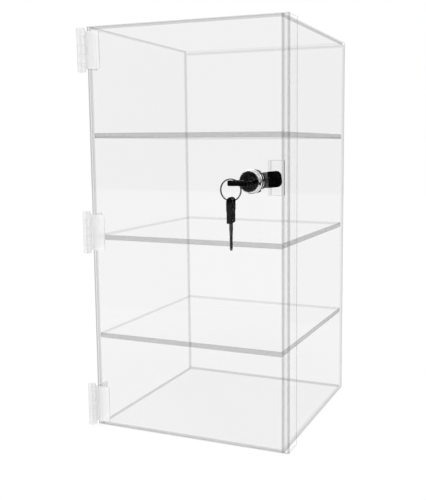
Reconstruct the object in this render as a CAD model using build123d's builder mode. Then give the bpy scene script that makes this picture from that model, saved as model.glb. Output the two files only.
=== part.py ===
from build123d import *
import math
import os

# Locking countertop cabinet of clear sheet: a tall box with three fixed shelves, a hinged
# overlay door with a return strip down its free edge, and a cam lock whose key carries a
# split ring and a spare key.
# Frame: origin at the centre of the body's underside, +Z up, -Y front, +X right, millimetres.

os.makedirs("parts", exist_ok=True)

# Cabinet body, outside faces
body_width = 244.5
body_depth = 237.9
body_height = 482.6
wall = 3.2                       # sheet of the sides, top, bottom and back
edge_round = 0.4                 # polished edges of all clear sheet
joint_film = 0.05                # cement in each glued joint of the clear pieces

# Shelves, cemented between the sides
shelf_thickness = 6.3
lower_shelf_height = 110.3       # underside above the base
shelf_spacing = 121.5
shelf_setback = 0.5              # from the front edges of the sides

# Door, laid over the front, and its return strip
door_thickness = 3.2
door_gap = 0.9                   # between the body's front edges and the door's back
door_bottom_gap = 1.0
return_thickness = 3.0
return_gap = 3.8                 # between the strip and the right side's outer face
return_depth = 23.9              # strip behind the door's back

# Clear hinges, one leaf on the door's face and one on the left side's face
hinge_height = 50.8
hinge_top_inset = 2.0
hinge_bottom_inset = 2.5
hinge_barrel_radius = 4.8
hinge_leaf_thickness = 3.0
hinge_leaf_height = 43.0
hinge_leaf_reach = 17.0          # leaf beyond the corner that it goes round
hinge_leaf_bevel = 4.0           # width of the bevel down the leaf's free edge
hinge_bevel_depth = 1.5
hinge_end_round = 0.6
hinge_knuckles = 5
hinge_knuckle_gap = 0.3
hinge_pin_radius = 1.2
hinge_pin_clearance = 0.05

# Cam lock
lock_drop = 47.8                 # axis below the upper shelf's underside
head_radius = 13.6               # flange that bears on the door
head_length = 8.5                # proud of the door
head_round = 0.8
flange_thickness = 4.0
collar_radius = 12.6             # tapered collar in front of the flange, at its back
rim_radius = 11.6                # and at its front
collar_groove_width = 0.5        # between the collar and the flange
collar_groove_depth = 0.6
barrel_radius = 9.5
barrel_hole_clearance = 0.2
thread_depth = 0.5
thread_pitch = 1.3
nut_thickness = 2.6
nut_radius = 13.4
nut_slot_width = 3.0
nut_slot_depth = 1.4
washer_thickness = 0.8
washer_radius = 12.6
face_radius = 10.8               # black ring set into the head
face_depth = 3.4
face_chamfer = 0.4
plug_head_radius = 7.0           # plug inside the black ring
core_radius = 6.5                # plug inside the housing
turn_clearance = 0.08            # radial, between the plug and its housing
end_clearance = 0.1              # along the lock, between the plug and its housing
shank_width = 7.0                # square behind the core, through the cam
shank_clearance = 0.05
shank_setback = 0.1              # shank's end inside the cam's back face

# Wafers and their springs, inside the plug
wafer_count = 5
wafer_thickness = 1.0
wafer_spacing = 2.6
wafer_height = 6.4
first_wafer = 2.6                # behind the plug's head
wafer_clearance = 0.08
spring_radius = 0.38
spring_wire_radius = 0.1
spring_turns = 7
spring_length = 4.6

# Cam, its sleeve, screw and washer
cam_thickness = 2.0
cam_width = 17.5
cam_reach = 28.2                 # lock axis to the sleeve's end
cam_tilt = 6.0                   # degrees above level, as it stands in the locked position
cam_tongue_width = 14.0
cam_tongue_corner = 5.0
cam_end_gap = 4.75               # sleeve's end to the right side's inner face
sleeve_wall = 0.6
sleeve_width = 18.0
sleeve_length = 15.0
sleeve_corner = 6.0
screw_radius = 2.0
screw_depth = 3.2                # into the plug
screw_head_radius = 3.9
screw_head_height = 2.2
screw_slot_width = 1.0
screw_slot_depth = 1.1
cam_washer_radius = 5.6
cam_washer_thickness = 0.8

# Strike block on the right side's inner face, just behind the door
strike_width = 15.8
strike_depth = 10.0
strike_height = 38.6
strike_rise = 3.9                # block's middle above the lock axis
strike_setback = 0.2             # from the side's front edge
strike_gap = 0.4                 # between the block's back and the sleeve

# Keys: a moulded bow on a flat blade. Lengths along the key are from the bow's hole.
bow_width = 23.0
bow_thickness = 6.0              # round the hole
bow_grip_thickness = 4.8         # beyond it
bow_hub_end = 5.5                # hole to where the bow starts to thin
bow_end = 7.5                    # hole to the bow's rounded end
bow_length = 27.5
bow_end_corner = 7.0
bow_neck_corner = 2.0
bow_round = 1.2
bow_end_round = 4.5              # length over which the end thins to nothing
bow_hole_radius = 4.5
bow_panel_margin = 2.4
bow_panel_depth = 0.35
blade_thickness = 2.0
shoulder_width = 10.2
shoulder_length = 8.3
blade_width = 7.5
blade_length = 21.0
tang_width = 8.0
tang_length = 10.0
blade_slot_clearance = 0.25
blade_groove_width = 1.2
blade_groove_depth = 0.4
cut_depths = [1.3, 0.7, 1.7, 0.9, 1.4]
cut_half_width = 0.9
key_seat_gap = 0.3               # shoulders to the plug's face

# Split ring through both bows
ring_radius = 11.5               # middle of the wire
ring_wire_width = 1.2            # across, in the ring's plane
ring_wire_height = 0.6           # along the ring's axis
ring_turn_gap = 0.1
ring_turns = 1.9
ring_seat_gap = 0.3              # ring's inside to what it rests on
ring_offset = 8.5                # ring's middle to the key's middle, to the left
spare_turn = 13.0                # degrees, about the vertical

# Places that follow from the sizes above
front_y = -body_depth / 2
back_y = body_depth / 2
left_x = -body_width / 2
right_x = body_width / 2
inner_width = body_width - 2 * (wall + joint_film)
side_depth = body_depth - wall - joint_film
side_y = front_y + side_depth / 2
door_back_y = front_y - door_gap
door_front_y = door_back_y - door_thickness
door_right_x = right_x + return_gap + return_thickness
door_width = door_right_x - left_x
door_height = body_height - door_bottom_gap
door_x = (left_x + door_right_x) / 2
door_z = door_bottom_gap + door_height / 2
hinge_x = left_x - joint_film - hinge_barrel_radius
hinge_y = door_front_y - joint_film - hinge_barrel_radius
lock_x = right_x - wall - cam_end_gap - cam_reach
lock_height = lower_shelf_height + 2 * shelf_spacing - lock_drop
strike_back_y = front_y + strike_setback + strike_depth
cam_front_y = strike_back_y + strike_gap + sleeve_wall
cam_back_y = cam_front_y + cam_thickness
face_front_y = door_front_y - head_length
face_back_y = face_front_y + face_depth


# Clear sheet pieces of the body, with their front edges just taken off
for side, x in (("left", left_x + wall / 2), ("right", right_x - wall / 2)):
    with BuildPart() as side_panel:
        with Locations((x, side_y, body_height / 2)):
            Box(wall, side_depth, body_height)
        front_edges = side_panel.edges().filter_by(Axis.Z).group_by(Axis.Y)[0]
        fillet(front_edges, edge_round)
    side_panel.part.label = f"{side}_side_panel"
    export_step(side_panel.part, f"parts/{side}_side_panel.step")

for level, z in (("top", body_height - wall / 2), ("bottom", wall / 2)):
    with BuildPart() as level_panel:
        with Locations((0, side_y, z)):
            Box(inner_width, side_depth, wall)
        front_edges = level_panel.edges().filter_by(Axis.X).group_by(Axis.Y)[0]
        fillet(front_edges, edge_round)
    level_panel.part.label = f"{level}_panel"
    export_step(level_panel.part, f"parts/{level}_panel.step")

with BuildPart() as back_panel:
    with Locations((0, back_y - wall / 2, body_height / 2)):
        Box(body_width, wall, body_height)
    fillet(back_panel.edges().group_by(Axis.Y)[-1], edge_round)
back_panel.part.label = "back_panel"
export_step(back_panel.part, "parts/back_panel.step")

for number, name in enumerate(("lower", "middle", "upper")):
    shelf_bottom = lower_shelf_height + number * shelf_spacing
    with BuildPart() as shelf:
        with Locations((0, side_y + shelf_setback / 2, shelf_bottom + shelf_thickness / 2)):
            Box(inner_width, side_depth - shelf_setback, shelf_thickness)
        fillet(shelf.edges().filter_by(Axis.X).group_by(Axis.Y)[0], edge_round)
    shelf.part.label = f"{name}_shelf"
    export_step(shelf.part, f"parts/{name}_shelf.step")

# Strike block that the cam turns in behind
strike_centre = (
    right_x - wall - joint_film - strike_width / 2,
    front_y + strike_setback + strike_depth / 2,
    lock_height + strike_rise,
)
with BuildPart() as strike_block:
    with Locations(strike_centre):
        Box(strike_width, strike_depth, strike_height)
    fillet(strike_block.faces().sort_by(Axis.X)[0].edges(), edge_round)
strike_block.part.label = "strike_block"
export_step(strike_block.part, "parts/strike_block.step")

# Door and return strip
with BuildPart() as door_panel:
    with Locations((door_x, door_back_y - door_thickness / 2, door_z)):
        Box(door_width, door_thickness, door_height)
    fillet(door_panel.edges().group_by(Axis.Y)[0], edge_round)
    with BuildSketch(Plane((lock_x, door_front_y, lock_height), z_dir=(0, 1, 0))):
        Circle(barrel_radius + barrel_hole_clearance)
    extrude(amount=door_thickness, mode=Mode.SUBTRACT)
door_panel.part.label = "door_panel"
export_step(door_panel.part, "parts/door_panel.step")

return_y = door_back_y + (joint_film + return_depth) / 2
with BuildPart() as door_return:
    with Locations((door_right_x - return_thickness / 2, return_y, door_z)):
        Box(return_thickness, return_depth - joint_film, door_height)
    fillet(door_return.edges().filter_by(Axis.Z).group_by(Axis.Y)[-1], edge_round)
door_return.part.label = "door_return"
export_step(door_return.part, "parts/door_return.step")

# Hinges. Knuckles alternate up the barrel, with the cabinet's leaf at both ends.
knuckle_height = hinge_height / hinge_knuckles
hinge_hole_radius = hinge_pin_radius + hinge_pin_clearance
hinge_middles = {
    "top": body_height - hinge_top_inset - hinge_height / 2,
    "middle": body_height / 2,
    "bottom": hinge_bottom_inset + hinge_height / 2,
}


def hinge_leaf(profile, reach, first_gap):
    """A leaf on a plane across its barrel: x runs along the plate, y towards what it is on."""
    with BuildPart() as leaf:
        plate_back = hinge_barrel_radius
        plate_face = hinge_barrel_radius - hinge_leaf_thickness
        with BuildSketch(profile):
            with BuildLine():
                Polyline(
                    (0, plate_back),
                    (0, plate_face),
                    (reach - hinge_leaf_bevel, plate_face),
                    (reach, plate_face + hinge_bevel_depth),
                    (reach, plate_back),
                    close=True,
                )
            make_face()
        extrude(amount=hinge_leaf_height / 2, both=True)
        with BuildSketch(profile):
            Circle(hinge_barrel_radius)
        extrude(amount=hinge_height / 2, both=True)
        ends = leaf.edges().filter_by(GeomType.CIRCLE).filter_by(
            lambda edge: edge.radius == hinge_barrel_radius
        )
        fillet(ends.group_by(Axis.Z)[0] + ends.group_by(Axis.Z)[-1], hinge_end_round)
        for number in range(first_gap, hinge_knuckles, 2):
            low = number * knuckle_height - hinge_knuckle_gap / 2
            high = (number + 1) * knuckle_height + hinge_knuckle_gap / 2
            if number == 0:
                low -= hinge_knuckle_gap
            if number == hinge_knuckles - 1:
                high += hinge_knuckle_gap
            with BuildSketch(profile.offset(low - hinge_height / 2)):
                Rectangle(
                    2 * (hinge_barrel_radius + hinge_knuckle_gap),
                    4 * hinge_barrel_radius,
                )
            extrude(amount=high - low, mode=Mode.SUBTRACT)
        with BuildSketch(profile):
            Circle(hinge_hole_radius)
        extrude(amount=hinge_height, both=True, mode=Mode.SUBTRACT)
    return leaf


door_leaf_reach = hinge_barrel_radius + hinge_leaf_reach
body_leaf_reach = door_leaf_reach + door_thickness + door_gap
for place, z in hinge_middles.items():
    barrel_centre = (hinge_x, hinge_y, z)
    side_profile = Plane(barrel_centre, x_dir=(0, 1, 0), z_dir=(0, 0, -1))
    body_leaf = hinge_leaf(side_profile, body_leaf_reach, 1)
    body_leaf.part.label = f"body_hinge_leaf_{place}"
    export_step(body_leaf.part, f"parts/body_hinge_leaf_{place}.step")
    front_profile = Plane(barrel_centre, x_dir=(1, 0, 0), z_dir=(0, 0, 1))
    door_leaf = hinge_leaf(front_profile, door_leaf_reach, 0)
    door_leaf.part.label = f"door_hinge_leaf_{place}"
    export_step(door_leaf.part, f"parts/door_hinge_leaf_{place}.step")
    with BuildPart() as hinge_pin:
        with BuildSketch(Plane(barrel_centre)):
            Circle(hinge_pin_radius)
        extrude(amount=hinge_height / 2, both=True)
        chamfer(hinge_pin.edges().filter_by(GeomType.CIRCLE), hinge_pin_radius / 4)
    hinge_pin.part.label = f"hinge_pin_{place}"
    export_step(hinge_pin.part, f"parts/hinge_pin_{place}.step")


# Cam lock. Its housing's profile is drawn as radius and distance behind the front.
lock_profile = Plane((lock_x, face_front_y, lock_height), x_dir=(1, 0, 0), z_dir=(0, 0, 1))
lock_line = Axis((lock_x, 0, lock_height), (0, 1, 0))


def lock_plane(y):
    """Plane square to the lock's axis, looking into the cabinet."""
    return Plane((lock_x, y, lock_height), x_dir=(1, 0, 0), z_dir=(0, 1, 0))


housing_length = cam_front_y - end_clearance - face_front_y
housing_bore = core_radius + turn_clearance
flange_start = head_length - flange_thickness
groove_start = flange_start - collar_groove_width
washer_start = head_length + door_thickness
nut_start = washer_start + washer_thickness
thread_start = nut_start + nut_thickness
thread_rings = int((housing_length - thread_start) / thread_pitch)
with BuildPart() as lock_housing:
    with BuildSketch(lock_profile):
        with BuildLine():
            Polyline(
                (housing_bore, 0),
                (rim_radius, 0),
                (collar_radius, groove_start),
                (collar_radius - collar_groove_depth, groove_start),
                (collar_radius - collar_groove_depth, flange_start),
                (head_radius, flange_start),
                (head_radius, head_length),
                (barrel_radius, head_length),
                (barrel_radius, housing_length),
                (housing_bore, housing_length),
                close=True,
            )
        make_face()
        Rectangle(face_radius, face_depth, align=(Align.MIN, Align.MIN), mode=Mode.SUBTRACT)
        for number in range(thread_rings):
            start = thread_start + (number + 0.5) * thread_pitch
            with Locations((barrel_radius, start)):
                Rectangle(2 * thread_depth, thread_pitch / 2, mode=Mode.SUBTRACT)
    revolve(axis=lock_line)
    rim = lock_housing.edges().filter_by(GeomType.CIRCLE).group_by(SortBy.RADIUS)[-1]
    fillet(rim, head_round)
lock_housing.part.label = "lock_housing"
export_step(lock_housing.part, "parts/lock_housing.step")

with BuildPart() as lock_face:
    with BuildSketch(lock_plane(face_front_y)):
        Circle(face_radius)
        Circle(plug_head_radius + turn_clearance, mode=Mode.SUBTRACT)
    extrude(amount=face_depth)
    chamfer(lock_face.edges().group_by(Axis.Y)[0], face_chamfer)
lock_face.part.label = "lock_face"
export_step(lock_face.part, "parts/lock_face.step")

with BuildPart() as lock_washer:
    with BuildSketch(lock_plane(door_back_y)):
        Circle(washer_radius)
        Circle(barrel_radius + barrel_hole_clearance, mode=Mode.SUBTRACT)
    extrude(amount=washer_thickness)
lock_washer.part.label = "lock_washer"
export_step(lock_washer.part, "parts/lock_washer.step")

with BuildPart() as lock_nut:
    with BuildSketch(lock_plane(door_back_y + washer_thickness)):
        Circle(nut_radius)
        Circle(barrel_radius + turn_clearance, mode=Mode.SUBTRACT)
        with PolarLocations(nut_radius, 4, start_angle=45):
            Rectangle(2 * nut_slot_depth, nut_slot_width, mode=Mode.SUBTRACT)
    extrude(amount=nut_thickness)
lock_nut.part.label = "lock_nut"
export_step(lock_nut.part, "parts/lock_nut.step")

wafer_places = [face_back_y + first_wafer + number * wafer_spacing for number in range(wafer_count)]
wafer_slot = wafer_thickness + 2 * wafer_clearance
keyway_height = blade_thickness + 2 * blade_slot_clearance
keyway_width = blade_width + 2 * blade_slot_clearance
keyway_depth = blade_length + 2 * blade_slot_clearance
spring_height = wafer_height / 2 + wafer_clearance + spring_radius + spring_wire_radius
spring_pocket = 2 * (spring_radius + spring_wire_radius + wafer_clearance)
core_end_y = cam_front_y - end_clearance
tilt = math.radians(cam_tilt)
cam_plane = Plane(
    (lock_x, cam_front_y, lock_height),
    x_dir=(math.cos(tilt), 0, math.sin(tilt)),
    z_dir=(0, 1, 0),
)

with BuildPart() as lock_plug:
    with BuildSketch(lock_plane(face_front_y)):
        Circle(plug_head_radius)
    extrude(amount=face_depth - end_clearance)
    chamfer(lock_plug.edges().group_by(Axis.Y)[0], face_chamfer)
    with BuildSketch(lock_plane(face_front_y + face_chamfer)):
        Circle(core_radius)
    extrude(amount=core_end_y - face_front_y - face_chamfer)
    with BuildSketch(cam_plane.offset(-end_clearance)):
        Rectangle(shank_width, shank_width)
    extrude(amount=end_clearance + cam_thickness - shank_setback)
    with BuildSketch(lock_plane(face_front_y)):
        Rectangle(keyway_width, keyway_height)
    extrude(amount=keyway_depth, mode=Mode.SUBTRACT)
    for y in wafer_places:
        with BuildSketch(lock_plane(y - wafer_slot / 2)):
            Rectangle(2 * core_radius, wafer_height + 2 * wafer_clearance)
            with Locations((0, -spring_height)):
                Rectangle(spring_length + 2 * wafer_clearance, spring_pocket)
        extrude(amount=wafer_slot, mode=Mode.SUBTRACT)
    with BuildSketch(lock_plane(cam_back_y)):
        Circle(screw_radius)
    extrude(amount=-screw_depth, mode=Mode.SUBTRACT)
lock_plug.part.label = "lock_plug"
export_step(lock_plug.part, "parts/lock_plug.step")

with BuildPart() as lock_wafers:
    for y in wafer_places:
        with BuildSketch(lock_plane(y - wafer_thickness / 2)):
            Rectangle(2 * core_radius, wafer_height)
            Circle(core_radius - turn_clearance, mode=Mode.INTERSECT)
            Rectangle(keyway_width, keyway_height, mode=Mode.SUBTRACT)
        extrude(amount=wafer_thickness)
lock_wafers.part.label = "lock_wafers"
export_step(lock_wafers.part, "parts/lock_wafers.step")

coil_length = spring_length - 2 * spring_wire_radius
with BuildPart() as wafer_springs:
    for y in wafer_places:
        coil_start = (lock_x - coil_length / 2, y, lock_height + spring_height)
        with BuildLine() as coil:
            Helix(coil_length / spring_turns, coil_length, spring_radius, coil_start, (1, 0, 0))
        with BuildSketch(Plane(coil.line @ 0, z_dir=coil.line % 0)):
            Circle(spring_wire_radius)
        sweep(path=coil.line, is_frenet=True)
wafer_springs.part.label = "wafer_springs"
export_step(wafer_springs.part, "parts/wafer_springs.step")

sleeve_start = cam_reach - sleeve_length
with BuildPart() as lock_cam:
    with BuildSketch(cam_plane) as cam_outline:
        Circle(cam_width / 2)
        Rectangle(sleeve_start, cam_width, align=(Align.MIN, Align.CENTER))
        Rectangle(cam_reach - sleeve_wall, cam_tongue_width, align=(Align.MIN, Align.CENTER))
        fillet(cam_outline.vertices().sort_by(Axis.X)[-2:], cam_tongue_corner)
        hole_width = shank_width + 2 * shank_clearance
        Rectangle(hole_width, hole_width, mode=Mode.SUBTRACT)
    extrude(amount=cam_thickness)
lock_cam.part.label = "lock_cam"
export_step(lock_cam.part, "parts/lock_cam.step")

with BuildPart() as cam_sleeve:
    with BuildSketch(cam_plane.offset(-sleeve_wall)) as sleeve_outline:
        with Locations((sleeve_start, 0)):
            Rectangle(sleeve_length, sleeve_width, align=(Align.MIN, Align.CENTER))
        fillet(sleeve_outline.vertices().sort_by(Axis.X)[-2:], sleeve_corner)
    extrude(amount=cam_thickness + 2 * sleeve_wall)
    with BuildSketch(cam_plane) as sleeve_pocket:
        with Locations((sleeve_start, 0)):
            Rectangle(sleeve_length - sleeve_wall, cam_tongue_width,
                      align=(Align.MIN, Align.CENTER))
        fillet(sleeve_pocket.vertices().sort_by(Axis.X)[-2:], cam_tongue_corner)
    extrude(amount=cam_thickness, mode=Mode.SUBTRACT)
cam_sleeve.part.label = "cam_sleeve"
export_step(cam_sleeve.part, "parts/cam_sleeve.step")

with BuildPart() as cam_washer:
    with BuildSketch(lock_plane(cam_back_y)):
        Circle(cam_washer_radius)
        Circle(screw_radius + shank_clearance, mode=Mode.SUBTRACT)
    extrude(amount=cam_washer_thickness)
cam_washer.part.label = "cam_washer"
export_step(cam_washer.part, "parts/cam_washer.step")

with BuildPart() as cam_screw:
    with BuildSketch(lock_plane(cam_back_y + cam_washer_thickness)):
        Circle(screw_head_radius)
    extrude(amount=screw_head_height)
    fillet(cam_screw.edges().group_by(Axis.Y)[-1], screw_head_height / 3)
    with BuildSketch(lock_plane(cam_back_y + cam_washer_thickness + screw_head_height)):
        Rectangle(2 * screw_head_radius, screw_slot_width)
        Rectangle(screw_slot_width, 2 * screw_head_radius)
    extrude(amount=-screw_slot_depth, mode=Mode.SUBTRACT)
    with BuildSketch(lock_plane(cam_back_y + cam_washer_thickness)):
        Circle(screw_radius - shank_clearance)
    extrude(amount=-cam_washer_thickness - screw_depth + shank_clearance)
cam_screw.part.label = "cam_screw"
export_step(cam_screw.part, "parts/cam_screw.step")

# Keys. Each is drawn on a plane through its middle: x across the key, y towards the tip.
neck_end = bow_length - bow_end
bow_grip_start = bow_hub_end + bow_panel_margin
shoulder_end = neck_end + shoulder_length
tip = shoulder_end + blade_length
key_hole_y = face_front_y - key_seat_gap - shoulder_end
key_plane = Plane((lock_x, key_hole_y, lock_height), x_dir=(1, 0, 0), z_dir=(0, 0, 1))

# The ring hangs on the strip of bow beside the hole, whose two top corners it clears
ring_inside = ring_radius - ring_wire_width / 2
ring_pitch = ring_wire_height + ring_turn_gap
ring_length = ring_pitch * ring_turns
ring_x = lock_x - ring_offset
ring_y = key_hole_y
strip_left = lock_x - bow_width / 2 + bow_round
strip_right = lock_x - bow_hole_radius - bow_round
strip_half = max(ring_x - strip_left, strip_right - ring_x)
ring_drop = math.sqrt(ring_inside ** 2 - strip_half ** 2) - ring_seat_gap
ring_z = lock_height + bow_thickness / 2 - ring_drop

# The spare key's hole hangs on the bottom of the ring, turned a little about the vertical
turn = math.radians(spare_turn)
spare_half = bow_thickness / 2 - bow_round
spare_reach = (ring_length + ring_wire_height) / 2 + spare_half * math.tan(turn)
wire_top_z = ring_z - math.sqrt(ring_inside ** 2 - spare_half ** 2)
spare_z = wire_top_z - math.sqrt(bow_hole_radius ** 2 - spare_reach ** 2) + ring_seat_gap
spare_across = Vector(math.sin(turn), -math.cos(turn), 0)
spare_plane = Plane(
    (ring_x, ring_y, spare_z), x_dir=spare_across, z_dir=spare_across.cross(Vector(0, 0, -1))
)


def blade_on(plane):
    """Steel blade: tang in the bow, shoulders that stop on the plug, and the cut length."""
    with BuildPart() as blade:
        with BuildSketch(plane):
            with Locations((0, neck_end - tang_length)):
                Rectangle(tang_width, tang_length, align=(Align.CENTER, Align.MIN))
            with Locations((0, neck_end)):
                Rectangle(shoulder_width, shoulder_length, align=(Align.CENTER, Align.MIN))
            with BuildLine():
                Polyline(
                    (-blade_width / 2, shoulder_end),
                    (-blade_width / 2, tip - blade_width / 2),
                    (-blade_width / 8, tip),
                    (blade_width / 8, tip),
                    (blade_width / 2, tip - blade_width / 2),
                    (blade_width / 2, shoulder_end),
                    close=True,
                )
            make_face()
            for place, depth in zip(wafer_places, cut_depths):
                along = shoulder_end + place - face_front_y
                for side in (-1, 1):
                    edge = side * blade_width / 2
                    with BuildLine():
                        Polyline(
                            (edge + side * depth, along - cut_half_width - depth),
                            (edge - side * depth, along - cut_half_width / 2),
                            (edge - side * depth, along + cut_half_width / 2),
                            (edge + side * depth, along + cut_half_width + depth),
                            close=True,
                        )
                    make_face(mode=Mode.SUBTRACT)
        extrude(amount=blade_thickness / 2, both=True)
        with BuildSketch(plane.offset(blade_thickness / 2)):
            with Locations((blade_width / 4, shoulder_end)):
                Rectangle(blade_groove_width, blade_length, align=(Align.CENTER, Align.MIN))
        extrude(amount=-blade_groove_depth, mode=Mode.SUBTRACT)
    return blade


def bow_on(plane):
    """Moulded bow: domed and thicker at the hole's end, with a shallow panel on each face."""
    with BuildPart() as bow:
        with BuildSketch(plane) as outline:
            with Locations((0, -bow_end)):
                Rectangle(bow_width, bow_length, align=(Align.CENTER, Align.MIN))
            fillet(outline.vertices().group_by(Axis.Y)[0], bow_end_corner)
            fillet(outline.vertices().group_by(Axis.Y)[-1], bow_neck_corner)
        extrude(amount=bow_thickness / 2, both=True)
        with BuildSketch(plane):
            Circle(bow_hole_radius)
        extrude(amount=bow_thickness, both=True, mode=Mode.SUBTRACT)
        flats = bow.faces().filter_by(GeomType.PLANE).sort_by(SortBy.AREA)[-2:]
        fillet(flats.edges(), bow_round)
        with BuildSketch(Plane(plane.origin, x_dir=plane.y_dir, z_dir=plane.x_dir)):
            with Locations((bow_end_round - bow_end, 0)):
                Ellipse(bow_end_round, bow_thickness / 2)
            with BuildLine():
                Polyline(
                    (bow_end_round - bow_end, bow_thickness / 2),
                    (bow_hub_end, bow_thickness / 2),
                    (bow_grip_start, bow_grip_thickness / 2),
                    (neck_end, bow_grip_thickness / 2),
                    (neck_end, -bow_grip_thickness / 2),
                    (bow_grip_start, -bow_grip_thickness / 2),
                    (bow_hub_end, -bow_thickness / 2),
                    (bow_end_round - bow_end, -bow_thickness / 2),
                    close=True,
                )
            make_face()
        extrude(amount=bow_width, both=True, mode=Mode.INTERSECT)
        for side in (-1, 1):
            with BuildSketch(plane.offset(side * bow_grip_thickness / 2)):
                panel_start = bow_grip_start + bow_panel_margin
                with Locations((0, panel_start)):
                    RectangleRounded(
                        bow_width - 2 * bow_panel_margin,
                        neck_end - bow_panel_margin - panel_start,
                        bow_neck_corner,
                        align=(Align.CENTER, Align.MIN),
                    )
            extrude(amount=-side * bow_panel_depth, mode=Mode.SUBTRACT)
        with BuildSketch(plane):
            with Locations((0, neck_end - tang_length)):
                Rectangle(tang_width, tang_length, align=(Align.CENTER, Align.MIN))
        extrude(amount=blade_thickness / 2, both=True, mode=Mode.SUBTRACT)
    return bow


for name, plane in (("key", key_plane), ("spare_key", spare_plane)):
    blade = blade_on(plane)
    blade.part.label = f"{name}_blade"
    export_step(blade.part, f"parts/{name}_blade.step")
    bow = bow_on(plane)
    bow.part.label = f"{name}_bow"
    export_step(bow.part, f"parts/{name}_bow.step")

# Split ring of flat wire, a little under two turns
ring_start = Vector(ring_x, ring_y + ring_length / 2, ring_z)
with BuildPart() as key_ring:
    with BuildLine() as ring_line:
        Helix(ring_pitch, ring_length, ring_radius, ring_start, (0, -1, 0))
    wire_start = ring_line.line @ 0
    with BuildSketch(Plane(wire_start, x_dir=wire_start - ring_start, z_dir=ring_line.line % 0)):
        Rectangle(ring_wire_width, ring_wire_height)
    sweep(path=ring_line.line, is_frenet=True)
key_ring.part.label = "key_ring"
export_step(key_ring.part, "parts/key_ring.step")
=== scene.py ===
import bpy
import math
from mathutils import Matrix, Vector


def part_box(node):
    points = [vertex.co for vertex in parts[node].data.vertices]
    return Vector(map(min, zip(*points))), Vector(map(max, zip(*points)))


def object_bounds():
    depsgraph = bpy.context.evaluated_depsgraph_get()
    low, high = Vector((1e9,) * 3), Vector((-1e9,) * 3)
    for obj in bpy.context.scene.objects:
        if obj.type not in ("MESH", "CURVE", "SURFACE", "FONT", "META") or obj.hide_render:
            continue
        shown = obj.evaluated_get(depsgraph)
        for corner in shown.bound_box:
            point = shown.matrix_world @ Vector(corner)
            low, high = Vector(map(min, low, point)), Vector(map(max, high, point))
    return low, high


# Clear locking case on a white studio floor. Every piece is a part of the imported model:
# this script gives it its finish, and sets the camera, the lamps and the floor.

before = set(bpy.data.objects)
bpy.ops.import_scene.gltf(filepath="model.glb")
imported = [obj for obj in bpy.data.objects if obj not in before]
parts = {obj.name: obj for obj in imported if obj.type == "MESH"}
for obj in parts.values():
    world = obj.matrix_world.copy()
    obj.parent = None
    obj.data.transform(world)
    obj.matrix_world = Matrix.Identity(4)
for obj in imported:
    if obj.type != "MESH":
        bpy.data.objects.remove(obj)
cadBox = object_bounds()
scene = bpy.context.scene
print("loaded", len(parts), "pieces")


# Camera at the photograph's viewing angle

camera = {
    "place": (0.38751, -0.83789, 0.34466),  # metres, in the case's own frame
    "turn": 21.034,      # degrees to the left of straight ahead
    "tilt": -6.742,      # degrees below level
    "roll": 0.079,
    "lens": 51.15,       # mm
    "sensor": 36,        # mm
    "shiftX": -0.1233,
    "shiftY": -0.0413,
    "near": 0.01,        # metres, clipping
    "far": 50,
}

cameraData = bpy.data.cameras.new("studioCamera")
cameraObject = bpy.data.objects.new("studioCamera", cameraData)
scene.collection.objects.link(cameraObject)
cameraObject.location = camera["place"]
cameraObject.rotation_euler = (
    math.radians(90 + camera["tilt"]),
    math.radians(camera["roll"]),
    math.radians(camera["turn"]),
)
cameraData.lens = camera["lens"]
cameraData.sensor_width = camera["sensor"]
cameraData.shift_x = camera["shiftX"]
cameraData.shift_y = camera["shiftY"]
cameraData.clip_start = camera["near"]
cameraData.clip_end = camera["far"]
scene.camera = cameraObject
scene.view_settings.view_transform = "Standard"
scene.cycles.transparent_max_bounces = 32  # the light passes many clear faces
print("camera set")


# Small helpers for node trees

noiseSpan = (0.3, 0.7)  # where the values of a noise mostly lie
squareOn = 0.6          # least share of a face's normal along an axis that it counts as square to
grainDepth = 0.0001     # metres, for the bump of the fine grain


def newMaterial(name):
    material = bpy.data.materials.new(name)
    material.use_nodes = True
    tree = material.node_tree
    tree.nodes.clear()
    return material, tree


def joinedName(word, piece):
    return word + piece.title().replace("_", "")  # one camelCase name for the piece's material


def addNode(tree, kind, label=None, **settings):
    node = tree.nodes.new(kind)
    if label:
        node.label = label
    for key, value in settings.items():
        setattr(node, key, value)
    return node


def connect(tree, source, target):
    tree.links.new(source, target)


def mathNode(tree, operation, first, second=None, clamp=False):
    node = addNode(tree, "ShaderNodeMath", operation=operation, use_clamp=clamp)
    for index, value in enumerate((first, second)):
        if value is None:
            continue
        if isinstance(value, (int, float)):
            node.inputs[index].default_value = value
        else:
            connect(tree, value, node.inputs[index])
    return node.outputs[0]


def grey(value):
    return (value, value, value, 1.0)


def mixShaders(tree, factor, first, second):
    node = addNode(tree, "ShaderNodeMixShader")
    if isinstance(factor, (int, float)):
        node.inputs[0].default_value = factor
    else:
        connect(tree, factor, node.inputs[0])
    connect(tree, first, node.inputs[1])
    connect(tree, second, node.inputs[2])
    return node.outputs[0]


def rampNode(tree, factor, stops):
    node = addNode(tree, "ShaderNodeValToRGB")
    while len(node.color_ramp.elements) > 1:
        node.color_ramp.elements.remove(node.color_ramp.elements[0])
    for index, (place, tone) in enumerate(stops):
        stop = node.color_ramp.elements[0] if index == 0 else node.color_ramp.elements.new(place)
        stop.position = place
        stop.color = grey(tone) if isinstance(tone, (int, float)) else tone
    connect(tree, factor, node.inputs[0])
    return node.outputs[0]


def noiseNode(tree, scale, detail, stretch=(1, 1, 1)):
    place = addNode(tree, "ShaderNodeTexCoord")
    mapping = addNode(tree, "ShaderNodeMapping")
    mapping.inputs["Scale"].default_value = stretch
    connect(tree, place.outputs["Object"], mapping.inputs["Vector"])
    noise = addNode(tree, "ShaderNodeTexNoise")
    noise.inputs["Scale"].default_value = scale
    noise.inputs["Detail"].default_value = detail
    connect(tree, mapping.outputs[0], noise.inputs["Vector"])
    return noise.outputs[0]


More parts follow.
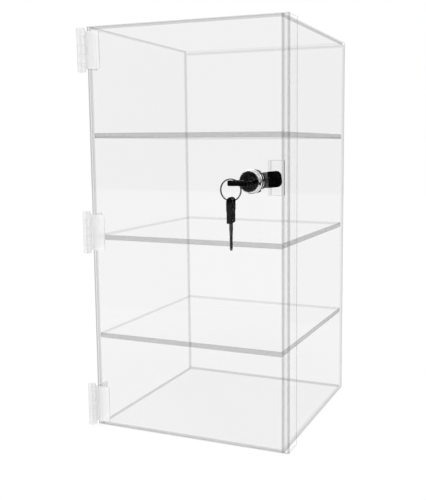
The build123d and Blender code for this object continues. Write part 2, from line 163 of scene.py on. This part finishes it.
def spreadNode(tree, noise, low, high):
    # a noise made into tones from the first to the second
    return rampNode(tree, noise, [(noiseSpan[0], low), (noiseSpan[1], high)])


def roughen(tree, shader, grain, strength):
    bump = addNode(tree, "ShaderNodeBump")
    bump.inputs["Strength"].default_value = strength
    bump.inputs["Distance"].default_value = grainDepth
    connect(tree, grain, bump.inputs["Height"])
    connect(tree, bump.outputs[0], shader.inputs["Normal"])


def softStep(tree, value, low, high):
    # 0 at the first value and 1 at the second, whichever is the larger
    ramp = addNode(tree, "ShaderNodeMapRange", interpolation_type="SMOOTHSTEP")
    connect(tree, value, ramp.inputs["Value"])
    ramp.inputs["From Min"].default_value = low
    ramp.inputs["From Max"].default_value = high
    return ramp.outputs["Result"]


def finishTree(tree, shader):
    output = addNode(tree, "ShaderNodeOutputMaterial")
    connect(tree, shader, output.inputs["Surface"])


def dress(material, *names):
    for name in names:
        for slot in parts[name].material_slots:
            slot.material = material


# Clear sheet: polished faces that hardly tint what is behind, and cut ends that look grey

sheet = {
    "faceTint": 0.9707,      # share of light that each polished face lets through
    "shelfTint": 0.9965,
    "ior": 1.49,
    "gloss": 0.2,            # share of the full reflection that the faces show
    "glossMost": 0.02,
    "glossRoughness": 0.02,
    "polishTone": 0.97,
    "satin": 0.10,           # share of an end that is satin rather than clear
    "satinTone": 0.40,
    "satinSpread": 0.2,      # how far the saw marks vary the satin's tone
    "satinRoughness": 0.35,
    "sawMarks": 0.04,        # how far the saw marks vary an end's shade
    "marksScale": 60,
    "marksDetail": 4,
    "marksStretch": 8.0,     # across the sheet
    "fadeWidth": 0.0003,     # metres over which the shaded part of an end fades out
    "borderCore": 1 / 3,     # share of a border that has its full shade
}

# the borders of a piece's faces, where they are a little darker:
# their width in metres, how much darker, and how far they lie below the piece's top
borders = {
    "back_panel": (0.0042, 0.09, 0.0030),
    "right_side_panel": (0.0012, 0.10, 0),
    "top_panel": (0.0016, 0.10, 0),
    "door_return": (0.0006, 0.10, 0),
    "strike_block": (0.0009, 0.10, 0),
}
usualBorder = (0.0022, 0.10, 0)

# each side's axis, and its way along the axis
sides = {
    "left": (0, -1), "right": (0, 1),
    "front": (1, -1), "rear": (1, 1),
    "under": (2, -1), "top": (2, 1),
}


def coordinates(tree, kind):
    place = addNode(tree, "ShaderNodeTexCoord")
    split = addNode(tree, "ShaderNodeSeparateXYZ")
    connect(tree, place.outputs[kind], split.inputs[0])
    return split.outputs


def outwardNormal(tree, behind):
    # a face seen from behind has its normal turned round, so it is turned back
    back = mathNode(tree, "SUBTRACT", 1.0, mathNode(tree, "MULTIPLY", behind, 2.0))
    return [mathNode(tree, "MULTIPLY", part, back) for part in coordinates(tree, "Normal")]


def borderFade(tree, name, thickAxis, width, topDrop):
    # 1 at the sheet's borders, and nothing from a little way in. topDrop lowers the border at the top.
    place = coordinates(tree, "Object")
    low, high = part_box(name)
    high.z -= topDrop
    inset = []
    for axis in range(3):
        if axis != thickAxis:
            middle = (low[axis] + high[axis]) / 2
            away = mathNode(tree, "ABSOLUTE", mathNode(tree, "SUBTRACT", place[axis], middle))
            inset.append(mathNode(tree, "SUBTRACT", (high[axis] - low[axis]) / 2, away))
    nearest = mathNode(tree, "MINIMUM", *inset)
    border = softStep(tree, nearest, width, width * sheet["borderCore"])
    if topDrop:
        border = mathNode(tree, "MULTIPLY", border, mathNode(tree, "GREATER_THAN", nearest, 0.0))
    return border


def endShade(tree, normal, behind, side, tints, fade):
    # how much light the end takes: nothing elsewhere, and its own share from outside and from within
    axis, sign = sides[side]
    turned = mathNode(tree, "MULTIPLY", normal[axis], sign)
    isHere = mathNode(tree, "GREATER_THAN", turned, squareOn)
    outside, within = (1 - tint for tint in tints)
    inward = mathNode(tree, "MULTIPLY", behind, within)
    if fade is not None:
        inward = mathNode(tree, "MULTIPLY", inward, fade)
    outward = mathNode(tree, "MULTIPLY", mathNode(tree, "SUBTRACT", 1.0, behind), outside)
    return mathNode(tree, "MULTIPLY", isHere, mathNode(tree, "ADD", inward, outward))


def fadeAlong(tree, axis, place, way):
    # nothing before a place on an axis and 1 beyond it, or the other way round
    spread = way * sheet["fadeWidth"]
    return softStep(tree, coordinates(tree, "Object")[axis], place - spread, place + spread)


def mirrorShare(tree, ahead, gloss):
    # how much a polished face mirrors, on its outside alone
    fresnel = addNode(tree, "ShaderNodeFresnel")
    fresnel.inputs["IOR"].default_value = sheet["ior"]
    return mathNode(tree, "MULTIPLY", mathNode(tree, "MULTIPLY", fresnel.outputs[0], ahead), gloss)


def clearSheetMaterial(piece, thickAxis, ends, faceTint=None, shadedPart=None, cornerLines=None,
                       calm=None):
    # thickAxis runs through the sheet. Each end has its clear share, from outside and from within.
    # faceTint is the clear share of the broad faces, where it isn't the usual one.
    # shadedPart is where the shade within the ends that it names starts: axis, place, way and ends.
    # cornerLines darken the ends that they name along the rear corner: the line's depth, and shares.
    # calm is a stretch of height, and the share of the ends' shade that is left there.
    material, tree = newMaterial(joinedName("clear", piece))
    behind = addNode(tree, "ShaderNodeNewGeometry").outputs["Backfacing"]
    normal = outwardNormal(tree, behind)
    fade = fadeAlong(tree, *shadedPart[:3]) if shadedPart else None
    shade = 0.0
    for side, tints in ends.items():
        isFaded = shadedPart is not None and side in shadedPart[3]
        one = endShade(tree, normal, behind, side, tints, fade if isFaded else None)
        shade = mathNode(tree, "ADD", one, shade)
    if cornerLines:
        depth, shares = cornerLines
        line = fadeAlong(tree, 1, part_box(piece)[1].y - depth, 1)
        for side, share in shares.items():
            one = endShade(tree, normal, behind, side, (1 - share, 1 - share), None)
            shade = mathNode(tree, "ADD", shade, mathNode(tree, "MULTIPLY", one, line))
    if calm:
        low, high, left = calm
        inside = mathNode(tree, "MULTIPLY", fadeAlong(tree, 2, low, 1), fadeAlong(tree, 2, high, -1))
        eased = mathNode(tree, "MULTIPLY", inside, 1 - left)
        shade = mathNode(tree, "MULTIPLY", shade, mathNode(tree, "SUBTRACT", 1.0, eased))
    stretch = [1.0, 1.0, 1.0]
    stretch[thickAxis] = sheet["marksStretch"]
    marks = noiseNode(tree, sheet["marksScale"], sheet["marksDetail"], stretch)
    shade = mathNode(tree, "MULTIPLY", shade, spreadNode(tree, marks, 1 - sheet["sawMarks"], 1.0))

    across = mathNode(tree, "ABSOLUTE", normal[thickAxis])
    isFace = mathNode(tree, "GREATER_THAN", across, squareOn)
    faceShade = 1 - (sheet["faceTint"] if faceTint is None else faceTint)
    if not piece.endswith("shelf"):
        width, darkness, topDrop = borders.get(piece, usualBorder)
        edging = mathNode(tree, "MULTIPLY", borderFade(tree, piece, thickAxis, width, topDrop), darkness)
        faceShade = mathNode(tree, "ADD", edging, faceShade)
    faceShade = mathNode(tree, "MULTIPLY", isFace, faceShade)
    light = mathNode(tree, "SUBTRACT", mathNode(tree, "SUBTRACT", 1.0, shade), faceShade, True)
    clear = addNode(tree, "ShaderNodeBsdfTransparent", "clear acrylic")
    connect(tree, light, clear.inputs["Color"])

    satin = addNode(tree, "ShaderNodeBsdfPrincipled", "satin end")
    satin.inputs["Roughness"].default_value = sheet["satinRoughness"]
    satin.inputs["IOR"].default_value = sheet["ior"]
    tone, spread = sheet["satinTone"], sheet["satinSpread"]
    varied = spreadNode(tree, marks, tone * (1 - spread), tone * (1 + spread))
    connect(tree, varied, satin.inputs["Base Color"])
    ahead = mathNode(tree, "SUBTRACT", 1.0, behind)
    isEnd = mathNode(tree, "SUBTRACT", 1.0, isFace)
    satinShare = mathNode(tree, "MULTIPLY", mathNode(tree, "MULTIPLY", isEnd, ahead), sheet["satin"])

    gloss = addNode(tree, "ShaderNodeBsdfGlossy", "polish")
    gloss.inputs["Roughness"].default_value = sheet["glossRoughness"]
    gloss.inputs["Color"].default_value = grey(sheet["polishTone"])
    mirror = mathNode(tree, "MINIMUM", mirrorShare(tree, ahead, sheet["gloss"]), sheet["glossMost"])
    body = mixShaders(tree, satinShare, clear.outputs[0], satin.outputs[0])
    finishTree(tree, mixShaders(tree, mirror, body, gloss.outputs[0]))
    return material


# the clear share of each piece's ends, seen from outside and from within
panelEnds = {
    "left_side_panel": {
        "front": (0.78, 0.84), "rear": (0.75, 0.93), "top": (0.80, 0.88), "under": (0.80, 0.88),
    },
    "right_side_panel": {
        "front": (0.72, 0.84), "rear": (0.75, 0.97), "top": (0.80, 0.84), "under": (0.80, 0.68),
    },
    "door_return": {
        "front": (0.86, 0.84), "rear": (0.80, 0.64), "top": (0.80, 0.88), "under": (0.80, 0.88),
    },
    "door_panel": {
        "left": (0.72, 0.62), "right": (0.97, 0.95), "top": (0.80, 0.84), "under": (0.80, 0.76),
    },
    "back_panel": {
        "left": (0.76, 0.95), "right": (0.74, 0.88), "top": (0.80, 0.97), "under": (0.80, 0.88),
    },
    "top_panel": {
        "front": (0.76, 0.88), "right": (0.70, 0.80), "left": (0.80, 0.92), "rear": (0.80, 0.97),
    },
    "bottom_panel": {
        "front": (0.78, 0.88), "right": (0.97, 0.97), "left": (0.97, 0.90), "rear": (0.80, 0.93),
    },
}
# the axis through each sheet, by the end of its name
thickAxes = {
    "side_panel": 0, "return": 0,
    "door_panel": 1, "back_panel": 1,
    "top_panel": 2, "bottom_panel": 2,
}
blockLow, blockHigh = (corner.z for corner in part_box("strike_block"))
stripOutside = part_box("door_return")[1].x
# the lines in the strip and the top panel are this thin, and the right side panel's end is lighter
# beside the block
lineDepth = {"door_return": 0.0008, "top_panel": 0.0017}
panelExtras = {
    "door_return": {
        "faceTint": 0.998,
        "shadedPart": (0, stripOutside - lineDepth["door_return"], 1, ("rear",)),
    },
    "top_panel": {"shadedPart": (2, cadBox[1].z - lineDepth["top_panel"], 1, ("right",))},
    "right_side_panel": {"calm": (blockLow, blockHigh, 0.45)},
}
for name, ends in panelEnds.items():
    thickAxis = next(axis for word, axis in thickAxes.items() if name.endswith(word))
    dress(clearSheetMaterial(name, thickAxis, ends, **panelExtras.get(name, {})), name)

shelfEnds = {side: (0.65, 0.84) for side in ("front", "right", "left", "rear")}
# the shaded share of each shelf's thickness: below zero, it starts underneath
shadedShare = {"lower_shelf": 0.55, "middle_shelf": 0.55, "upper_shelf": -0.45}
for name, share in shadedShare.items():
    low, high = (corner.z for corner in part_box(name))
    way = 1 if share > 0 else -1
    height = (high if share > 0 else low) - share * (high - low)
    dress(clearSheetMaterial(name, 2, shelfEnds, sheet["shelfTint"], (2, height, way, shelfEnds)), name)

blockEnds = {"left": (0.85, 0.90), "right": (0.97, 0.97), "top": (0.85, 0.94), "under": (0.85, 0.94)}
blockTint = 0.985
blockLines = (0.0031, {"left": 0.14, "right": 0.60})
dress(clearSheetMaterial("strike_block", 1, blockEnds, blockTint, None, blockLines), "strike_block")
print("sheets dressed")


# Clear hinges and their rods: light moulded plastic with a painted glow, darker only where it curves
# away

hingeLook = {
    "leaf": {
        "centre": 0.985,     # clear share face on
        "rim": 0.78,         # clear share where it curves away
        "power": 2.5,
        "streak": 0.05,      # extra shade in the moulding's fine upright lines
        "gloss": 0.4,
        "milk": 0.50,        # share of the moulding that scatters light
        # painted glow: the moulding's emission strength, though it is no lamp
        "paintedGlow": 0.15,
        "tip": 0.30,         # extra shade on the ends that face sideways
        "barrelShade": 0.02,
        "barrelPaintedGlow": 0.70,  # share of the painted glow that is left in the barrel, at the leaf's far end and at the seam
    },
    "rod": {
        "centre": 0.96,
        "rim": 0.75,
        "power": 2.0,
        "streak": 0.02,
        "gloss": 0.3,
        "milk": 0.10,
        "paintedGlow": 0.05,
        "tip": 0.0,
        "barrelShade": 0.0,
        "barrelPaintedGlow": 1.0,
    },
    "streakScale": 330,
    "streakDetail": 1,
    "streakStretch": 0.02,   # upright
    "streakEdge": (0.40, 0.60),
    "milkTone": (0.98, 0.90),
    "milkRoughness": 0.3,
    "glossRoughness": 0.08,
    "joint": 0.08,           # shade where two knuckles meet
    "barrelRadius": 0.0051,
    "tipFrom": 0.015,        # metres from the axis to the leaf's far end, at least
    "sideways": 0.97,        # share of a normal along the x axis, for a face that looks sideways
    "seam": 0.0006,          # metres, half the width of the line beside the barrel
    "seamShade": 0.09,
}


def clearMouldingMaterial(name, settings):
    material, tree = newMaterial(name)
    facing = addNode(tree, "ShaderNodeLayerWeight")
    rim = mathNode(tree, "POWER", facing.outputs["Facing"], settings["power"])
    shade = mathNode(tree, "MULTIPLY", rim, settings["centre"] - settings["rim"])
    stretch = (1, 1, hingeLook["streakStretch"])
    streaks = noiseNode(tree, hingeLook["streakScale"], hingeLook["streakDetail"], stretch)
    streaks = softStep(tree, streaks, *hingeLook["streakEdge"])
    dull = mathNode(tree, "MULTIPLY", streaks, settings["streak"])
    shade = mathNode(tree, "ADD", mathNode(tree, "ADD", shade, dull), 1 - settings["centre"])
    normal = coordinates(tree, "Normal")
    upright = mathNode(tree, "LESS_THAN", mathNode(tree, "ABSOLUTE", normal[2]), squareOn)

    # how far the point is from the hinge's axis
    low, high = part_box("hinge_pin_middle")
    place = coordinates(tree, "Object")
    across = mathNode(tree, "SUBTRACT", place[0], (low.x + high.x) / 2)
    along = mathNode(tree, "SUBTRACT", place[1], (low.y + high.y) / 2)
    squares = [mathNode(tree, "MULTIPLY", length, length) for length in (across, along)]
    reach = mathNode(tree, "SQRT", mathNode(tree, "ADD", *squares))
    isBarrel = mathNode(tree, "LESS_THAN", reach, hingeLook["barrelRadius"])

    # the leaf's far end, the seam beside the barrel and the joints between the knuckles
    turned = mathNode(tree, "ABSOLUTE", normal[0])
    sideways = mathNode(tree, "GREATER_THAN", turned, hingeLook["sideways"])
    farOut = mathNode(tree, "GREATER_THAN", across, hingeLook["tipFrom"])
    tip = mathNode(tree, "MULTIPLY", sideways, farOut)
    shade = mathNode(tree, "ADD", shade, mathNode(tree, "MULTIPLY", tip, settings["tip"]))
    shade = mathNode(tree, "ADD", shade, mathNode(tree, "MULTIPLY", isBarrel, settings["barrelShade"]))
    fromSeam = mathNode(tree, "ABSOLUTE", mathNode(tree, "SUBTRACT", across, hingeLook["barrelRadius"]))
    isNarrow = mathNode(tree, "LESS_THAN", fromSeam, hingeLook["seam"])
    isBeside = mathNode(tree, "LESS_THAN", along, hingeLook["barrelRadius"])
    seam = mathNode(tree, "MULTIPLY", isNarrow, isBeside)
    shade = mathNode(tree, "ADD", shade, mathNode(tree, "MULTIPLY", seam, hingeLook["seamShade"]))
    shade = mathNode(tree, "MULTIPLY", shade, upright)
    knuckleEnd = mathNode(tree, "MULTIPLY", mathNode(tree, "SUBTRACT", 1.0, upright), isBarrel)
    shade = mathNode(tree, "ADD", shade, mathNode(tree, "MULTIPLY", knuckleEnd, hingeLook["joint"]))
    light = mathNode(tree, "SUBTRACT", 1.0, shade, True)

    clear = addNode(tree, "ShaderNodeBsdfTransparent", "clear moulding")
    connect(tree, light, clear.inputs["Color"])
    milk = addNode(tree, "ShaderNodeBsdfPrincipled", "light in the plastic")
    milk.inputs["Roughness"].default_value = hingeLook["milkRoughness"]
    pale, dim = hingeLook["milkTone"]
    connect(tree, rampNode(tree, streaks, [(0.0, pale), (1.0, dim)]), milk.inputs["Base Color"])
    # painted glow: the moulding emits light though it is no lamp, less in the barrel, at the leaf's far
    # end and at the seam
    lessPaintedGlow = mathNode(tree, "MAXIMUM", isBarrel, mathNode(tree, "MAXIMUM", tip, seam))
    paintedGlow = rampNode(tree, lessPaintedGlow, [(0.0, 1.0), (1.0, settings["barrelPaintedGlow"])])
    connect(tree, paintedGlow, milk.inputs["Emission Color"])
    milk.inputs["Emission Strength"].default_value = settings["paintedGlow"]
    body = mixShaders(tree, settings["milk"], clear.outputs[0], milk.outputs[0])
    gloss = addNode(tree, "ShaderNodeBsdfGlossy", "moulded gloss")
    gloss.inputs["Roughness"].default_value = hingeLook["glossRoughness"]
    behind = addNode(tree, "ShaderNodeNewGeometry").outputs["Backfacing"]
    mirror = mirrorShare(tree, mathNode(tree, "SUBTRACT", 1.0, behind), settings["gloss"])
    finishTree(tree, mixShaders(tree, mirror, body, gloss.outputs[0]))
    return material


hingeNames = [name for name in parts if "hinge_leaf" in name]
pinNames = [name for name in parts if name.startswith("hinge_pin")]
dress(clearMouldingMaterial("clearHingePlastic", hingeLook["leaf"]), *hingeNames)
dress(clearMouldingMaterial("clearHingeRod", hingeLook["rod"]), *pinNames)
print("hinges dressed")


# Lock, cam and keys

metals = {
    "chrome": {"tone": 0.85, "roughness": 0.09, "grain": 0.05},
    "wafer": {"tone": 0.55, "roughness": 0.35, "grain": 0.10, "warmth": 0.5},
    "spring": {"tone": 0.50, "roughness": 0.30, "grain": 0.05},
    "zinc": {"tone": 0.26, "roughness": 0.42, "grain": 0.15},
    "blade": {"tone": 0.10, "roughness": 0.30, "grain": 0.15},
    "ring": {"tone": 0.22, "roughness": 0.18, "grain": 0.08},
}
metalGrain = {
    "scale": 900,
    "detail": 4,
    "stretch": (1, 6, 1),
    "roughnessSpread": (0.8, 1.2),
    "bump": 0.08,
    "greenLoss": 0.4,        # share of the warmth that the green loses, where the blue loses all of it
}


def metalMaterial(name, settings):
    material, tree = newMaterial(name)
    shader = addNode(tree, "ShaderNodeBsdfPrincipled", name)
    grain = noiseNode(tree, metalGrain["scale"], metalGrain["detail"], metalGrain["stretch"])
    warmth = settings.get("warmth", 0.0)
    tones = []
    for share in (1 - settings["grain"], 1 + settings["grain"]):
        tone = min(1.0, settings["tone"] * share)
        tones.append((tone, tone * (1 - metalGrain["greenLoss"] * warmth), tone * (1 - warmth), 1.0))
    connect(tree, spreadNode(tree, grain, *tones), shader.inputs["Base Color"])
    shader.inputs["Metallic"].default_value = 1.0
    roughs = [settings["roughness"] * share for share in metalGrain["roughnessSpread"]]
    connect(tree, spreadNode(tree, grain, *roughs), shader.inputs["Roughness"])
    roughen(tree, shader, grain, metalGrain["bump"])
    finishTree(tree, shader.outputs[0])
    return material


blacks = {
    "bow": {"tone": 0.002, "roughness": 0.09, "bump": 0.02, "shine": 0.22},
    "bowEnd": {"tone": 0.002, "roughness": 0.35, "bump": 0.10, "shine": 0.02},
    "face": {"tone": 0.002, "roughness": 0.14, "bump": 0.03, "shine": 0.50},
    "sleeve": {"tone": 0.002, "roughness": 0.50, "bump": 0.10, "shine": 0.05},
}
blackGrain = {
    "scale": 1400,
    "detail": 3,
    "toneSpread": (0.7, 1.4),
    "roughnessSpread": (0.85, 1.15),
}
bowWear = (0.0045, 0.0065)  # metres from the bow's end, where the dull wear stops


def blackShader(tree, settings):
    shader = addNode(tree, "ShaderNodeBsdfPrincipled")
    grain = noiseNode(tree, blackGrain["scale"], blackGrain["detail"])
    tones = [settings["tone"] * share for share in blackGrain["toneSpread"]]
    connect(tree, spreadNode(tree, grain, *tones), shader.inputs["Base Color"])
    shader.inputs["Specular IOR Level"].default_value = settings["shine"]
    roughs = [settings["roughness"] * share for share in blackGrain["roughnessSpread"]]
    connect(tree, spreadNode(tree, grain, *roughs), shader.inputs["Roughness"])
    roughen(tree, shader, grain, settings["bump"])
    return shader.outputs[0]


def blackMaterial(name, settings):
    material, tree = newMaterial(name)
    finishTree(tree, blackShader(tree, settings))
    return material


def bowMaterial(piece, axis, end, way):
    # a bow is glossy, and worn dull at the thin end beyond its hole
    material, tree = newMaterial(joinedName("moulded", piece))
    place = coordinates(tree, "Object")[axis]
    fromEnd = mathNode(tree, "MULTIPLY", mathNode(tree, "SUBTRACT", place, end), way)
    dull = blackShader(tree, blacks["bowEnd"])
    glossy = blackShader(tree, blacks["bow"])
    finishTree(tree, mixShaders(tree, softStep(tree, fromEnd, *bowWear), dull, glossy))
    return material


chrome = metalMaterial("platedChrome", metals["chrome"])
dress(chrome, "lock_housing", "lock_washer", "lock_nut")
dress(metalMaterial("stampedBrass", metals["wafer"]), "lock_wafers")
dress(metalMaterial("springWire", metals["spring"]), "wafer_springs")
dress(metalMaterial("zincSteel", metals["zinc"]), "lock_cam", "cam_washer", "cam_screw")
dress(metalMaterial("nickelBlade", metals["blade"]), "key_blade", "spare_key_blade")
dress(metalMaterial("ringWire", metals["ring"]), "key_ring")
dress(bowMaterial("key_bow", 1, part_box("key_bow")[0].y, 1), "key_bow")
dress(bowMaterial("spare_key_bow", 2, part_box("spare_key_bow")[1].z, -1), "spare_key_bow")
dress(blackMaterial("blackFace", blacks["face"]), "lock_face", "lock_plug")
dress(blackMaterial("blackSleeve", blacks["sleeve"]), "cam_sleeve")
print("lock and keys dressed")


# Floor and light

studio = {
    "floorSize": 8.0,
    "floorDrop": 0.0002,     # metres under the case, so that no faces lie in one plane
    "floorTone": 0.90,
    "floorLift": 0.88,       # share of plain white in the floor as seen, over its lit paint
    "floorWhite": 1.03,
    "floorNear": 0.16,       # metres from the case's middle where the floor starts to fade to white
    "floorFar": 0.55,
    "worldFill": 0.74,       # light from all round, on diffuse surfaces
    "darkTone": 0.04,        # what mirrors see of the dark cards, rooms, bar and floor
    # where they turn from white to dark, in parts of a direction of length 1
    "sideCard": (0.28, 0.20),       # cards at the case's left and right
    "sideCardTop": (0.60, 0.50),
    "roomDepth": (0.55, 0.75),      # a room before the case, and another behind it at the right
    "roomSide": (-0.10, 0.10),
    "roomTop": (0.20, 0.10),
    "barDepth": (0.78, 0.84),       # a bar high up behind the case
    "barBottom": (0.26, 0.30),
    # and where the floor behind the case does, in metres from the case's middle
    "floorCardNear": (0.42, 0.48),
    "floorCardLeft": (-0.45, -0.35),
    "lampTarget": (0, 0, 0.25),
    "lamps": [
        {"name": "keyLamp", "place": (-1.2, -1.8, 2.2), "size": 1.6, "power": 22},
        {"name": "fillLamp", "place": (2.2, -0.6, 1.6), "size": 1.6, "power": 12},
        {"name": "topLamp", "place": (0.0, 0.6, 2.8), "size": 1.8, "power": 14},
    ],
}


def seenDirectly(tree):
    # 1 for what the eye sees, straight on, mirrored or through a clear piece
    rays = addNode(tree, "ShaderNodeLightPath")
    seen = mathNode(tree, "ADD", rays.outputs["Is Camera Ray"], rays.outputs["Is Transmission Ray"])
    return mathNode(tree, "ADD", seen, rays.outputs["Is Glossy Ray"], True)


def buildFloor():
    half = studio["floorSize"] / 2
    mesh = bpy.data.meshes.new("studioFloor")
    corners = [(-half, -half, 0), (half, -half, 0), (half, half, 0), (-half, half, 0)]
    mesh.from_pydata(corners, [], [(0, 1, 2, 3)])
    floor = bpy.data.objects.new("studioFloor", mesh)
    scene.collection.objects.link(floor)
    floor.location.z = -studio["floorDrop"]
    material, tree = newMaterial("paleFloor")
    place = addNode(tree, "ShaderNodeTexCoord")
    length = addNode(tree, "ShaderNodeVectorMath", operation="LENGTH")
    connect(tree, place.outputs["Object"], length.inputs[0])
    fade = addNode(tree, "ShaderNodeMapRange", interpolation_type="SMOOTHSTEP")
    connect(tree, length.outputs["Value"], fade.inputs["Value"])
    fade.inputs["From Min"].default_value = studio["floorNear"]
    fade.inputs["From Max"].default_value = studio["floorFar"]
    fade.inputs["To Min"].default_value = studio["floorLift"]
    share = mathNode(tree, "MULTIPLY", fade.outputs["Result"], seenDirectly(tree))
    paint = addNode(tree, "ShaderNodeBsdfDiffuse")
    paint.inputs["Color"].default_value = grey(studio["floorTone"])
    across, along, _ = coordinates(tree, "Object")
    card = mathNode(tree, "MULTIPLY", softStep(tree, along, *studio["floorCardNear"]),
                    softStep(tree, across, *studio["floorCardLeft"]))
    mirrored = addNode(tree, "ShaderNodeLightPath").outputs["Is Glossy Ray"]
    card = mathNode(tree, "MULTIPLY", card, mirrored)
    white = addNode(tree, "ShaderNodeEmission")
    connect(tree, rampNode(tree, card, [(0.0, 1.0), (1.0, studio["darkTone"])]), white.inputs["Color"])
    white.inputs["Strength"].default_value = studio["floorWhite"]
    finishTree(tree, mixShaders(tree, share, paint.outputs[0], white.outputs[0]))
    mesh.materials.append(material)


def buildWorld():
    world = bpy.data.worlds.new("studioWorld")
    scene.world = world
    world.use_nodes = True
    tree = world.node_tree
    tree.nodes.clear()
    fill = addNode(tree, "ShaderNodeBackground")
    fill.inputs["Strength"].default_value = studio["worldFill"]
    backdrop = addNode(tree, "ShaderNodeBackground")
    backdrop.inputs["Color"].default_value = grey(1.0)
    output = addNode(tree, "ShaderNodeOutputWorld")
    light = mixShaders(tree, seenDirectly(tree), fill.outputs[0], backdrop.outputs[0])
    # mirrors see a white tent with a dark card at each side, a dark room before the case and another
    # behind it at the right, and a dark bar high up behind it
    tent = addNode(tree, "ShaderNodeBackground")
    side, depth, height = coordinates(tree, "Generated")
    leaning = mathNode(tree, "ABSOLUTE", depth)
    card = mathNode(tree, "MULTIPLY", softStep(tree, leaning, *studio["sideCard"]),
                    softStep(tree, height, *studio["sideCardTop"]))
    roomNear, roomFar = studio["roomDepth"]
    before = softStep(tree, depth, -roomNear, -roomFar)
    behindRight = mathNode(tree, "MULTIPLY", softStep(tree, depth, roomNear, roomFar),
                           softStep(tree, side, *studio["roomSide"]))
    room = mathNode(tree, "MULTIPLY", mathNode(tree, "MAXIMUM", before, behindRight),
                    softStep(tree, height, *studio["roomTop"]))
    bar = mathNode(tree, "MULTIPLY", softStep(tree, depth, *studio["barDepth"]),
                   softStep(tree, height, *studio["barBottom"]))
    dark = mathNode(tree, "MAXIMUM", mathNode(tree, "MAXIMUM", card, room), bar)
    connect(tree, rampNode(tree, dark, [(0.0, 1.0), (1.0, studio["darkTone"])]), tent.inputs["Color"])
    mirrored = addNode(tree, "ShaderNodeLightPath").outputs["Is Glossy Ray"]
    connect(tree, mixShaders(tree, mirrored, light, tent.outputs[0]), output.inputs["Surface"])


def buildLamps():
    target = Vector(studio["lampTarget"])
    for lamp in studio["lamps"]:
        data = bpy.data.lights.new(lamp["name"], "AREA")
        data.energy = lamp["power"]
        data.size = lamp["size"]
        lampObject = bpy.data.objects.new(lamp["name"], data)
        scene.collection.objects.link(lampObject)
        lampObject.location = lamp["place"]
        aim = target - Vector(lamp["place"])
        lampObject.rotation_euler = aim.to_track_quat("-Z", "Y").to_euler()


buildFloor()
buildWorld()
buildLamps()
print("studio built")
